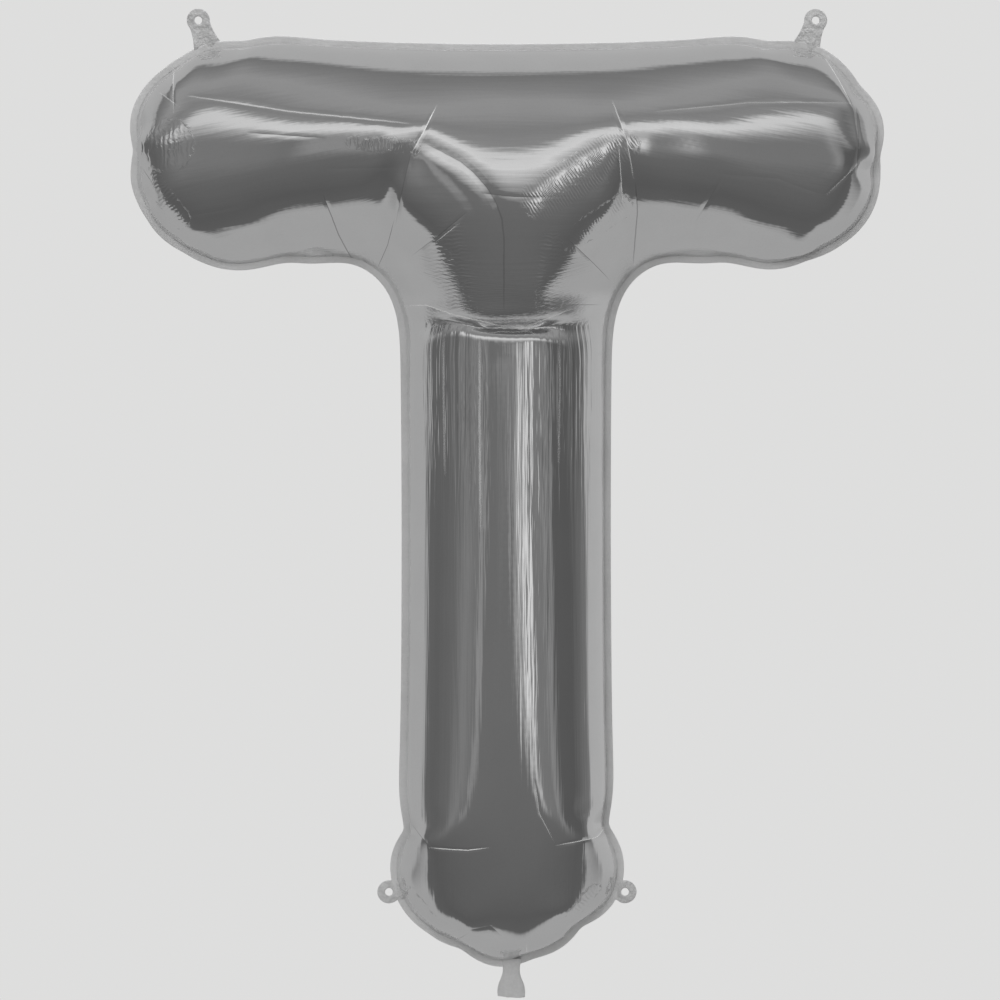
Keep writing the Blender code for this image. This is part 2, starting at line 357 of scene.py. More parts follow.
def dome(radius, count=60):
    return [(radius * math.cos(math.pi * i / count), radius * math.sin(math.pi * i / count))
            for i in range(count + 1)]


def ease(start, end, count=12):
    """Points of a soft step from start to end, as (share of the way, value)."""
    shares = [i / count for i in range(1, count)]
    return [(t, start + (end - start) * (3 * t * t - 2 * t ** 3)) for t in shares]


def corner(centre_x, centre_z, start, end, count=40):
    turns = [math.radians(start + (end - start) * i / count) for i in range(count + 1)]
    return [(centre_x + CORNER_FLAT * math.cos(a), centre_z + CORNER_FLAT * math.sin(a)) for a in turns]


def pattern_outline():
    """The weld line on the flat film, anticlockwise, with the foot at z = 0."""
    half_stem, half_bar, axis = STEM_FLAT / 2, BAR_FLAT / 2, AXIS_FLAT
    under = TALL_FLAT - BAR_FLAT
    cap_x, up = ARM_CAP_PLACE[0], ARM_CAP_PLACE[1] - axis
    right = [(w, FOOT_CAP + FOOT_EASE * t) for t, w in ease(FOOT_CAP, half_stem)]
    right += corner(half_stem + CORNER_FLAT, under - CORNER_FLAT, 180, 90)
    right += [(cap_x - ARM_EASE * (1 - t), axis + e) for t, e in ease(-half_bar, up - ARM_CAP)]
    right += [(cap_x + q, axis + up - p) for p, q in dome(ARM_CAP)]
    right += [(cap_x - ARM_EASE * t, axis + e) for t, e in ease(up + ARM_CAP, half_bar)]
    left = [(-x, z) for x, z in reversed(right)]
    foot = [(-p, FOOT_CAP - q) for p, q in dome(FOOT_CAP)]
    return np.array(foot + right + left)


def cut_hips(points):
    """Moves the lower edge of both arms down, most at the hip."""
    reach = np.abs(points[:, 0])
    low_edge = (points[:, 1] < TALL_FLAT - 0.6 * BAR_FLAT) & (points[:, 1] > TALL_FLAT / 2)
    low_edge &= reach > STEM_FLAT / 2 + HIP_CLEARANCE
    dip = ARM_HIP * bell(reach - HIP_PLACE, HIP_SPREAD)
    return points - np.stack([0 * reach, dip * low_edge], axis=1)


def evenly(points, step):
    """The closed outline again, with points at even spacing."""
    closed = np.vstack([points, points[:1]])
    run = np.r_[0, np.cumsum(np.linalg.norm(np.diff(closed, axis=0), axis=1))]
    at = np.linspace(0, run[-1], int(round(run[-1] / step)), endpoint=False)
    return np.stack([np.interp(at, run, closed[:, 0]), np.interp(at, run, closed[:, 1])], axis=1)


weld = evenly(cut_hips(evenly(pattern_outline(), SEAM_STEP)), SEAM_STEP)
weld_count = len(weld)
weld_length = np.linalg.norm(weld - np.roll(weld, -1, axis=0), axis=1).sum()


# %% [markdown]
# ## Film mesh
# A square grid would pull the puckers into its own rows. The film has no grain, so it gets a mesh of nearly
# equal triangles: rows of points shifted by half a step, and a Delaunay triangulation that keeps the weld as
# an edge. The back film is the same mesh turned over, sharing the points of the weld, and a strip of quads
# outside the weld is the sealed rim.

# %% Points inside the weld
def inside(outline, points):
    ahead = np.roll(outline, -1, axis=0)
    found = np.zeros(len(points), bool)
    for (x0, z0), (x1, z1) in zip(outline, ahead):
        if z0 == z1:
            continue
        crosses = (z0 > points[:, 1]) != (z1 > points[:, 1])
        found ^= crosses & (points[:, 0] < (x1 - x0) * (points[:, 1] - z0) / (z1 - z0) + x0)
    return found


def nearest_on_weld(points):
    """For each point, its distance to the weld's points and the number of the nearest one."""
    gap = np.hypot(points[:, None, 0] - weld[None, :, 0], points[:, None, 1] - weld[None, :, 1])
    return gap.min(axis=1), gap.argmin(axis=1)


low, high = weld.min(axis=0), weld.max(axis=0)
across = np.arange(low[0], high[0] + SEAM_STEP, SEAM_STEP)
upward = np.arange(low[1], high[1] + SEAM_STEP, SEAM_STEP * math.sqrt(3) / 2)
lattice = np.array([(x + (j % 2) * SEAM_STEP / 2, z) for j, z in enumerate(upward) for x in across])
lattice = lattice[inside(weld, lattice)]
lattice = lattice[nearest_on_weld(lattice)[0] > CLEAR_OF_WELD * SEAM_STEP]
all_points = np.vstack([weld, lattice])
ring = [(i, (i + 1) % weld_count) for i in range(weld_count)]
flat_verts, _, flat_faces, *_ = delaunay_2d_cdt([Vector(p) for p in all_points], ring, [], 1, 1e-7)
flat = np.array([tuple(v) for v in flat_verts])
count = len(flat)
print("one film:", count, "points and", len(flat_faces), "triangles")

# %% Front film, back film and rim, as one mesh
def turned_left(face):
    a, b, c = flat[face[0]], flat[face[1]], flat[face[2]]
    return (b[0] - a[0]) * (c[1] - a[1]) - (b[1] - a[1]) * (c[0] - a[0]) > 0


front_faces = [tuple(f) if turned_left(f) else tuple(f)[::-1] for f in flat_faces]
back_number = np.arange(count)
back_number[weld_count:] = count + np.arange(count - weld_count)
back_faces = [tuple(int(back_number[i]) for i in reversed(f)) for f in front_faces]
rim_start = 2 * count - weld_count
tangent = np.roll(weld, -1, axis=0) - np.roll(weld, 1, axis=0)
tangent /= np.linalg.norm(tangent, axis=1)[:, None]
outward = np.stack([tangent[:, 1], -tangent[:, 0]], axis=1)
rim = weld + SEAM_WIDTH * outward
rim_faces = [(i, rim_start + i, rim_start + j, j) for i, j in ring]
film_rim_gap, film_weld_point = nearest_on_weld(flat)
film_rim_gap[:weld_count] = 0
print("whole balloon mesh:", rim_start + weld_count, "points")


# %% [markdown]
# ## Where the creases start
# A flat film has no reason to fold in one place rather than another, so on a real balloon chance and the
# corners decide. The start shape does the same: the films bulge by two millimetres, a seeded roughness of a
# tenth of a millimetre goes over them, and shallow grooves lie where the photograph shows the main creases.
# Short grooves across the weld at the three rounded ends set where the film gathers into its flat facets. The
# two films start as mirror images, which keeps the letter flat on average when it fills.

# %% Start shape
CREASE_STARTS = [  # metres on the filled letter, from where bar and stem cross
    [(-0.130, -0.123), (-0.118, -0.105), (-0.102, -0.070), (-0.087, -0.005), (-0.071, 0.032)],
    [(-0.148, -0.107), (-0.155, -0.080), (-0.167, -0.052)],
    [(-0.111, -0.110), (-0.080, -0.084), (-0.043, -0.056)],
    [(0.133, -0.105), (0.141, -0.038), (0.131, 0.000), (0.113, 0.035)],
    [(0.108, -0.121), (0.082, -0.099), (0.064, -0.084)],
    [(0.166, -0.101), (0.175, -0.070), (0.186, -0.047)],
    [(-0.080, -0.151), (-0.039, -0.168), (0.008, -0.174), (0.054, -0.166), (0.084, -0.149)]]
END_GATHERS = [  # centre of the rounded end on the pattern, its radius, and directions in degrees
    ((-ARM_CAP_PLACE[0], ARM_CAP_PLACE[1]), ARM_CAP, (122, 143, 164, 182, 199, 216, 234, 263)),
    (ARM_CAP_PLACE, ARM_CAP, (75, 54, 38, 21, 2, -16, -32, -46, -80)),
    ((0.0, FOOT_CAP), FOOT_CAP, (171, 191, 211, 235, 265, 296, 320, 336, 350))]
GATHER_REACH = (-0.05, 0.005)      # from inside the weld to just past it
GATHER_WIDTH = 0.007
START_BULGE = 0.002
BULGE_REACH = 0.1                  # how far from the weld the bulge is full
START_ROUGHNESS = 0.0001
GROOVE_DEPTH = 0.0005
GROOVE_WIDTH = 0.008
HALF_STROKE = 0.0985               # half width of a filled stroke
BAR_DOWN_TO, STEM_UP_TO = -0.09, -0.12   # heights on the filled letter where the two tubes end
FAR = 9.0


def on_flat(x, z):
    """A place on the filled letter's front, as a place on the flat pattern."""
    unroll = 2 / math.pi
    if z > BAR_DOWN_TO:
        flat_z = BAR_FLAT / 2 * unroll * math.asin(max(-1, min(1, z / HALF_STROKE)))
    else:
        flat_z = z + HALF_STROKE - BAR_FLAT / 2
    if z < STEM_UP_TO:
        x = STEM_FLAT / 2 * unroll * math.asin(max(-1, min(1, x / HALF_STROKE)))
    return np.array((x, AXIS_FLAT + flat_z))


def gap_to_line(points, line):
    """Each point's distance to a bent line."""
    nearest = np.full(len(points), FAR)
    for a, b in zip(line[:-1], line[1:]):
        way = b - a
        share = np.clip(((points - a) @ way) / (way @ way), 0, 1)
        nearest = np.minimum(nearest, np.hypot(*(points - a - share[:, None] * way).T))
    return nearest


random = np.random.default_rng(3)
free = np.ones(count)
free[:weld_count] = 0
bulge = START_BULGE * np.clip(film_rim_gap / BULGE_REACH, 0, 1)
bulge += random.normal(0, START_ROUGHNESS, count) * free
for line in CREASE_STARTS:
    gap = gap_to_line(flat, [on_flat(*p) for p in line])
    bulge -= GROOVE_DEPTH * bell(gap, GROOVE_WIDTH) * free
for centre, radius, directions in END_GATHERS:
    for turn in np.radians(directions):
        way = np.array((math.cos(turn), math.sin(turn)))
        gap = gap_to_line(flat, [np.array(centre) + way * (radius + reach) for reach in GATHER_REACH])
        bulge -= GROOVE_DEPTH * bell(gap, GATHER_WIDTH) * free
start = np.zeros((rim_start + weld_count, 3))
start[:count, 0], start[:count, 2] = flat[:, 0], flat[:, 1]
start[:count, 1] = -bulge
start[count:rim_start] = start[weld_count:count] * (1, -1, 1)
start[rim_start:, 0], start[rim_start:, 2] = rim[:, 0], rim[:, 1]
print("start shape is", round(2000 * bulge.max(), 2), "mm thick")


# %% [markdown]
# ## Blowing it up
# Blender's Cloth with pressure does what the gas does. The film hardly stretches, so its springs are stiff in
# tension, but it buckles at once when it is squeezed, so they are very weak in compression: that pair of
# values is what makes puckers instead of a rubber balloon. Real film crimps in ripples finer than this mesh,
# and weak springs stand for them: the mean shape stays smooth and only the main folds form. The sealed rim
# isn't under pressure and just follows. The modifier is applied at the end.

# %% Inflate
INFLATE_FRAMES = 42
FILM_CLOTH = dict(
    quality=5, mass=0.05, air_damping=5, tension_stiffness=60, shear_stiffness=60, compression_stiffness=0.1,
    bending_stiffness=1.0, tension_damping=5, compression_damping=5, bending_damping=0.5, use_pressure=True,
    uniform_pressure_force=10)


def inflate(piece, frames):
    group = piece.vertex_groups.new(name="under_pressure")
    group.add(list(range(rim_start)), 1.0, "REPLACE")
    cloth = piece.modifiers.new("gas", "CLOTH")
    for name, value in FILM_CLOTH.items():
        setattr(cloth.settings, name, value)
    cloth.settings.vertex_group_pressure = group.name
    cloth.settings.effector_weights.gravity = 0
    cloth.collision_settings.use_collision = False
    cloth.collision_settings.use_self_collision = False
    scene = bpy.context.scene
    for span in (cloth.point_cache, scene):
        span.frame_start, span.frame_end = 1, frames
    for step in range(1, frames + 1):
        scene.frame_set(step)
    apply_all(piece)
    scene.frame_set(1)


balloon = add_mesh("balloon", start.tolist(), front_faces + back_faces + rim_faces)
inflate(balloon, INFLATE_FRAMES)
filled = np.array([v.co for v in balloon.data.vertices])
print("filled:", np.ptp(filled, axis=0).round(4))


# %% [markdown]
# ## Truing the weld
# This mesh can only gather in steps of its own size, so its weld comes out with deeper scallops than the real
# one, which is two films thick and stiffer than each. The weld is drawn towards its own smoothed line, and
# the film beside it goes along. A Fourier transform smooths a closed line well: it splits it into waves, and
# the short ones are made small. The rim is then laid flat outside the trued weld.

# %% True the weld
WELD_SMOOTHING = 0.021             # waves shorter than about three times this are taken out
WELD_SHARE = 0.93                  # how far the weld follows its smoothed line
WELD_FLATNESS = 0.5                # how far it is pressed into its own plane
FILM_FOLLOWS = 0.030               # how far into the film the move fades
weld_step = weld_length / weld_count
film_gap = np.r_[film_rim_gap, film_rim_gap[weld_count:]]
film_weld = np.r_[film_weld_point, film_weld_point[weld_count:]]


def smooth_loop(loop, width):
    waves = np.fft.fftfreq(len(loop), d=weld_step)
    kept = 1 - (1 - np.exp(-2 * (math.pi * waves * width) ** 2)) ** 2
    return np.fft.ifft(np.fft.fft(loop, axis=0) * kept[:, None], axis=0).real


pull = (smooth_loop(filled[:weld_count], WELD_SMOOTHING) - filled[:weld_count]) * WELD_SHARE
pull[:, 1] -= (filled[:weld_count, 1] + pull[:, 1]) * WELD_FLATNESS
filled[:rim_start] += pull[film_weld] * bell(film_gap, FILM_FOLLOWS)[:, None]
run = np.roll(filled[:weld_count], -1, axis=0) - np.roll(filled[:weld_count], 1, axis=0)
side = np.stack([run[:, 2], 0 * run[:, 1], -run[:, 0]], axis=1)
filled[rim_start:] = filled[:weld_count] + SEAM_WIDTH * side / np.linalg.norm(side, axis=1)[:, None]
print("weld moved by up to", round(1000 * np.linalg.norm(pull, axis=1).max(), 1), "mm")

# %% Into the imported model's place
shift = np.array([
    (band_low.x + band_high.x) / 2 - (filled[:, 0].min() + filled[:, 0].max()) / 2,
    -filled[:weld_count, 1].mean(),
    band_high.z - filled[rim_start:, 2].max()])
filled = filled + shift
print("moved by", shift.round(4), "; foot is off by",
      round(float(filled[rim_start:, 2].min() - band_low.z) * 1000, 2), "mm; weld leaves its plane by",
      filled[:weld_count, 1].min().round(4), filled[:weld_count, 1].max().round(4))

# %% [markdown]
# ## Relaxing the film
# At the corners the simulated film crumples in steps of one triangle, which a mirror shows as torn edges. Each
# point is therefore drawn towards the middle of its neighbours a few times, and more often at the two deep
# valleys and at both ends of the taut arc. The main folds stay, and the sharp lines come back in the finish.
# Last, the junction is settled as the photograph shows it: the arc a little higher, the belly full down to it,
# with the long fold that runs down its middle.

# %% Relax the film
RELAX_STEPS = 3
RELAX_SHARE = 0.5
RELAX_MORE = 8
CRUMPLED_PLACES = [  # x, z, reach in millimetres, where the film is relaxed more
    (-76, -162, 32), (76, -162, 32), (-104, -62, 30), (114, -55, 34), (-78, 4, 20), (108, 8, 26), (150, 4, 26),
    (-198, -92, 24), (198, -92, 24), (-38, -168, 20), (2, -172, 20), (42, -170, 20)]
links = np.array([edge.vertices[:] for edge in balloon.data.edges])
links = links[(links < rim_start).all(axis=1)]
neighbours = np.bincount(links.ravel(), minlength=len(filled))[:, None]


def relax(shape, weight):
    total = np.zeros_like(shape)
    np.add.at(total, links[:, 0], shape[links[:, 1]])
    np.add.at(total, links[:, 1], shape[links[:, 0]])
    return shape + (total / np.maximum(neighbours, 1) - shape) * weight[:, None]


in_film = np.zeros(len(filled))
in_film[weld_count:rim_start] = RELAX_SHARE
for _ in range(RELAX_STEPS):
    filled = relax(filled, in_film)
near_crumple = np.zeros(len(filled))
for x, z, reach in CRUMPLED_PLACES:
    away = np.hypot(filled[:, 0] * 1000 - x, filled[:, 2] * 1000 - z)
    near_crumple = np.maximum(near_crumple, bell(away, reach))
for _ in range(RELAX_MORE):
    filled = relax(filled, in_film * near_crumple)
print("film relaxed, depth now", round(float(np.ptp(filled[:, 1])), 4))

# %% Settle the junction
ARC_LIFT = (-0.175, 0.040, 0.085, 0.0095)             # height, reach up and down, reach across, lift
BELLY_DROP = (-0.150, 0.0125, 0.048, 0.066, 0.0095)   # height, reach down, reach up, reach across, drop
PUSHES = [  # x, z, reach across, reach up and down, how far out, millimetres
    (0, -60, 68, 48, 5.0), (0, -177, 75, 9, 2.6), (-104, -66, 34, 26, 5.0), (104, -66, 34, 26, 5.0),
    (0, -158, 60, 8, 2.5)]
BELLY_FOLD = [(-0.079, -0.002), (-0.060, -0.011), (-0.042, -0.021), (-0.029, -0.032), (-0.018, -0.045),
              (-0.010, -0.058), (-0.005, -0.072), (-0.003, -0.088), (-0.003, -0.158)]
FOLD_WIDTH, FOLD_DEPTH = 0.0065, 0.0014

in_panel = np.zeros(len(filled))
in_panel[:rim_start] = 1 - bell(film_gap, FILM_FOLLOWS)
middle, tall, wide, lift = ARC_LIFT
lifted = bell(filled[:, 2] - middle, tall) * bell(filled[:, 0], wide) * in_panel
filled[:, 2] += lift * lifted
bottom, below, above, wide, drop = BELLY_DROP
tall = np.where(filled[:, 2] < bottom, below, above)
filled[:, 2] -= drop * bell(filled[:, 2] - bottom, tall) * bell((filled[:, 0] / wide) ** 2, 1) * in_panel
for x, z, wide, tall, out in PUSHES:
    pushed = bell(filled[:, 0] * 1000 - x, wide) * bell(filled[:, 2] * 1000 - z, tall)
    filled[:, 1] += np.sign(filled[:, 1]) * out / 1000 * pushed * in_panel
fold_gap = gap_to_line(filled[:, [0, 2]], np.array(BELLY_FOLD))
filled[:, 1] += FOLD_DEPTH * bell(fold_gap, FOLD_WIDTH) * (filled[:, 1] < 0) * in_panel
print("arc lifted by up to", round(1000 * lift * float(lifted.max()), 1), "mm")


# %% [markdown]
# ## Film panels
# The simulated mesh is one piece. The real letter has two panels, so it is split at the weld: each panel keeps
# its own copy of the weld's points, and the joint stays closed because both copies are the same. Each panel
# carries its flat pattern as a UV map, in metres, for the streaks that run along the film.

# %% Split into panels
FILM_THICK = 0.0003
flat_place = np.vstack([flat, flat[weld_count:], rim])


def piece_of(name, faces):
    """A new piece from some faces of the filled balloon, with the flat pattern as its UV map."""
    used = np.unique(np.concatenate([np.array(f) for f in faces]))
    number = {int(old): new for new, old in enumerate(used)}
    piece = add_mesh(name, filled[used].tolist(), [tuple(number[i] for i in f) for f in faces])
    corners = np.array([loop.vertex_index for loop in piece.data.loops])
    uv = piece.data.uv_layers.new(name="flat_pattern")
    uv.data.foreach_set("uv", flat_place[used][corners].astype(np.float32).ravel())
    return piece


def finish_film(piece):
    """Smooths the film's facets and gives it a wall, inwards."""
    add_rounding(piece, 1)
    add_wall(piece, FILM_THICK, -1.0)
    apply_all(piece)
    bpy.ops.object.shade_smooth()
    print(piece.name, "has", triangles(piece), "triangles")


front_film = piece_of("front_film", front_faces)
back_film = piece_of("back_film", back_faces)
bpy.data.objects.remove(balloon)
for film in (front_film, back_film):
    finish_film(film)
    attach(film, "root")


# %% [markdown]
# ## Sealed rim
# Outside the weld both films are fused into a stiff strip about six millimetres wide. It follows the weld
# through every pucker, so it is built from the simulated rim: four rows of points from just inside the weld
# to the cut edge, closed with Solidify and rounded. Its UV map runs in metres along and across the strip, for
# the marks of the sealing tool.

# %% Rim strip
RIM_THICK = 0.0008
RIM_ROWS = (-0.2, 0.25, 0.65, 1.0)   # shares of the way from the weld to the cut edge

rows = [filled[:weld_count] + share * (filled[rim_start:] - filled[:weld_count]) for share in RIM_ROWS]
rim_points = np.vstack(rows)
strip_faces, strip_uv = [], []
for row in range(len(RIM_ROWS) - 1):
    for i, j in ring:
        a, b = row * weld_count, (row + 1) * weld_count
        strip_faces.append((a + i, b + i, b + j, a + j))
        for share, step in ((RIM_ROWS[row], i), (RIM_ROWS[row + 1], i), (RIM_ROWS[row + 1], i + 1),
                            (RIM_ROWS[row], i + 1)):
            strip_uv += [step * weld_step, share * SEAM_WIDTH]
sealed_rim = add_mesh("sealed_rim", rim_points.tolist(), strip_faces)
sealed_rim.data.uv_layers.new(name="along_rim").data.foreach_set("uv", strip_uv)
add_wall(sealed_rim, RIM_THICK, 0.0)
add_rounding(sealed_rim, 2)
apply_all(sealed_rim)
bpy.ops.object.shade_smooth()
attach(sealed_rim, "root")
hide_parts("seam_band")
print("sealed rim has", triangles(sealed_rim), "triangles")


# %% [markdown]
# ## Hang tabs
# Each tab is a tongue of the sealed film with a round end and a punched hole. By hand it is a ring grown from
# the hole: a circle of edges, extruded and scaled outwards, and then the edges that face the balloon pulled
# in to meet the rim. The film is pressed thick round the hole, so the ring next to it is raised.

# %% Tab measures
TAB_HOLE = 0.0035
TAB_RINGS = (0.0043, 0.0057, 0.0071, 0.0094, 0.0108)   # radii of the rings round the hole
TAB_NECK_TURN = math.radians(62)                       # half angle of the arc that grows into the neck
TAB_THICK = 0.0009
TAB_BEAD = 0.0007                                      # how much thicker the film is round the hole
BEAD_RADIUS, BEAD_SPREAD = 0.0050, 0.0011
NECK_OVERLAP = 0.0045              # how far the neck reaches past the rim's edge
NECK_STEPS = ((0.3, 1.02), (0.35, 1.10), (0.35, 1.22))   # share of the neck, and how much it widens
NECK_RUN_IN = 0.0075               # length over which the neck thins into the rim
TAB_CURL = 0.0012                  # how far the tip leaves the seam plane
ARM_CENTRE = 0.2445
FOOT_CENTRE = -0.6515
TABS = [  # node, side, centre the tab points away from, angle, reach from that centre, where the rim ends
    ("hang_tab_top_left", -1, (ARM_CENTRE, 0.0), 70.5, 0.1275, 0.1065),
    ("hang_tab_top_right", 1, (ARM_CENTRE, 0.0), 70.5, 0.1275, 0.1065),
    ("hang_tab_foot_left", -1, (0.0, FOOT_CENTRE), -19.5, 0.1165, 0.1080),
    ("hang_tab_foot_right", 1, (0.0, FOOT_CENTRE), -19.5, 0.1165, 0.1080)]


def hang_tab(node, side, centre, degrees, reach, rim_reach):
    turn = math.radians(degrees)
    out = Vector((side * math.cos(turn), 0, math.sin(turn)))
    hole = Vector((side * centre[0], 0, centre[1])) + reach * out
    bpy.ops.object.select_all(action="DESELECT")
    bpy.ops.mesh.primitive_circle_add(vertices=40, radius=TAB_HOLE, fill_type="NOTHING", location=hole,
                                      rotation=(math.pi / 2, 0, 0))
    tab = bpy.context.object
    tab.name = node + "_film"
    bpy.ops.object.transform_apply(location=True, rotation=True)
    bpy.ops.object.mode_set(mode="EDIT")
    bpy.ops.mesh.select_all(action="SELECT")
    radius = TAB_HOLE
    for wider in TAB_RINGS:
        bpy.ops.mesh.extrude_edges_move()
        grow = wider / radius
        bpy.ops.transform.resize(value=(grow, 1, grow), center_override=hole)
        radius = wider
    shape = bmesh.from_edit_mesh(tab.data)
    bpy.ops.mesh.select_mode(type="EDGE")
    limit = math.cos(TAB_NECK_TURN)
    for edge in shape.edges:
        middle = (edge.verts[0].co + edge.verts[1].co) / 2 - hole
        outer = edge.is_boundary and middle.length > 0.9 * TAB_RINGS[-1]
        edge.select_set(outer and middle.normalized().dot(-out) > limit)
    bmesh.update_edit_mesh(tab.data)
    neck = reach - rim_reach + NECK_OVERLAP - 0.50 * TAB_RINGS[-1]
    side_step = Vector((-out.z, 0, out.x))
    for share, flare in NECK_STEPS:
        bpy.ops.mesh.extrude_edges_move()
        bpy.ops.transform.translate(value=-out * neck * share)
        moved = [v.co for v in shape.verts if v.select]
        along = sum((v - hole).dot(side_step) for v in moved) / len(moved)
        for v in shape.verts:
            if v.select:
                v.co += side_step * ((v.co - hole).dot(side_step) - along) * (flare - 1)
        bmesh.update_edit_mesh(tab.data)
    bpy.ops.object.mode_set(mode="OBJECT")
    return tab, hole, out


def thicken_tab(tab, hole, out, rim_y):
    """Gives the tab its wall, raises the ring round the hole and runs the neck out thin inside the rim."""
    add_wall(tab, TAB_THICK, 0.0)
    apply_all(tab)
    root = min((v.co - hole).dot(out) for v in tab.data.vertices)
    for v in tab.data.vertices:
        from_hole = v.co - hole
        radius = math.hypot(from_hole.x, from_hole.z)
        bead = math.exp(-((radius - BEAD_RADIUS) / BEAD_SPREAD) ** 2)
        edge = 0.75 if radius > 0.0095 and from_hole.dot(out) > -0.006 else 1.0
        free = min(1.0, (from_hole.dot(out) - root) / NECK_RUN_IN)
        edge *= 0.3 + 0.7 * free
        v.co.y = math.copysign(TAB_THICK / 2 * edge + TAB_BEAD / 2 * bead, v.co.y) + rim_y * (1 - free)
        curl = (from_hole.dot(out) + 0.010) / 0.020
        v.co.y += TAB_CURL * max(0.0, curl) ** 2 * math.copysign(1, hole.x)
        v.co.y += 0.0004 * math.sin(from_hole.x * 420) * free
    add_rounding(tab, 2)
    apply_all(tab)
    face_outwards(tab)
    bpy.ops.object.shade_smooth()


# %% Make the tabs
tabs = []
for node, side, centre, degrees, reach, rim_reach in TABS:
    tab, hole, out = hang_tab(node, side, centre, degrees, reach, rim_reach)
    root = hole - (reach - rim_reach) * out
    nearest = np.argmin(np.hypot(filled[rim_start:, 0] - root.x, filled[rim_start:, 2] - root.z))
    thicken_tab(tab, hole, out, float(filled[rim_start + nearest, 1]))
    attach(tab, "root")
    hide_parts(node)
    tabs.append(tab)
    print(tab.name, "hole at", tuple(round(v, 4) for v in hole), triangles(tab), "triangles")


# %% [markdown]
# ## Filling tail and valve
# Below the foot both films go on as a flat sleeve, narrow at the balloon and wider at its mouth, where the
# filling nozzle goes in. The sleeve is a loft: one closed section per height, a thin lens whose two edges are
# welded flat, with a few soft folds that grow towards the mouth. The valve is a strip of clear film between
# the two, and its end shows in the mouth.

# %% Tail sleeve
TAIL_X = 0.004
TAIL_TOP = -0.7520
TAIL_SEGMENTS = 48
TAIL_WALL = 0.0004
TAIL_STATIONS = [  # height below the top, half width, half thickness, depth of the folds
    (0.0000, 0.0095, 0.0022, 0.0000), (0.0060, 0.0078, 0.0019, 0.0002), (0.0110, 0.0074, 0.0016, 0.0003),
    (0.0160, 0.0080, 0.0016, 0.0004), (0.0210, 0.0102, 0.0018, 0.0005), (0.0255, 0.0120, 0.0021, 0.0006),
    (0.0300, 0.0126, 0.0023, 0.0007), (0.0335, 0.0126, 0.0024, 0.0008), (0.0362, 0.0123, 0.0025, 0.0008)]
tail_points, tail_faces = [], []
for drop, half_width, half_thick, fold in TAIL_STATIONS:
    for i in range(TAIL_SEGMENTS):
        angle = 2 * math.pi * i / TAIL_SEGMENTS
        share = math.cos(angle)
        lens = math.copysign(abs(math.sin(angle)) ** 1.4, math.sin(angle))
        ripple = fold * math.sin(5.0 * share + 0.8) * math.sin(angle) ** 2
        uneven = 0.0007 * math.sin(2.2 * share + 0.5) * drop / 0.036
        tail_points.append((TAIL_X + half_width * share, half_thick * lens + ripple,
                            TAIL_TOP - drop - uneven))
for row in range(len(TAIL_STATIONS) - 1):
    for i in range(TAIL_SEGMENTS):
        j = (i + 1) % TAIL_SEGMENTS
        a, b = row * TAIL_SEGMENTS, (row + 1) * TAIL_SEGMENTS
        tail_faces.append((a + i, a + j, b + j, b + i))
tail = add_mesh("fill_tail_sleeve", tail_points, tail_faces)
face_outwards(tail)
add_wall(tail, TAIL_WALL, -1.0)
add_rounding(tail, 2)
apply_all(tail)
bpy.ops.object.shade_smooth()
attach(tail, "root")
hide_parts("fill_tail")
print("tail:", triangles(tail), "triangles")

# %% Valve strip
VALVE_SIZE = (0.0098, 0.0006, 0.0300)

bpy.ops.object.select_all(action="DESELECT")
bpy.ops.mesh.primitive_cube_add(size=1, location=(TAIL_X, 0, TAIL_TOP - 0.0065 - VALVE_SIZE[2] / 2),
                                scale=VALVE_SIZE)
valve = bpy.context.object
valve.name = "valve_film_strip"
bpy.ops.object.transform_apply(location=True, scale=True)
bpy.ops.object.mode_set(mode="EDIT")
bpy.ops.mesh.select_all(action="SELECT")
bpy.ops.mesh.subdivide(number_cuts=9)
bpy.ops.object.mode_set(mode="OBJECT")
valve_top = max(v.co.z for v in valve.data.vertices)
for v in valve.data.vertices:
    side = (v.co.x - TAIL_X) / (VALVE_SIZE[0] / 2)
    lower = (valve_top - v.co.z) / VALVE_SIZE[2]
    ridge = 0.0003 * math.exp(-((abs(side) - 0.72) / 0.12) ** 2)
    v.co.y += 0.00045 * math.sin(2.6 * side) * lower + ridge * math.copysign(1, v.co.y)
edge = valve.modifiers.new("edge", "BEVEL")
edge.width = 0.0001
edge.segments = 2
edge.limit_method = "ANGLE"
add_rounding(valve, 1)
apply_all(valve)
bpy.ops.object.shade_smooth()
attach(valve, "root")
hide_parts("valve_strip")
print("valve strip:", triangles(valve), "triangles")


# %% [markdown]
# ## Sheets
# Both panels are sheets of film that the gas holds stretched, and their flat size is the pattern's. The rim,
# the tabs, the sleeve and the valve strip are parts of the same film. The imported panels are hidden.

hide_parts("front_panel")
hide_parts("back_panel")
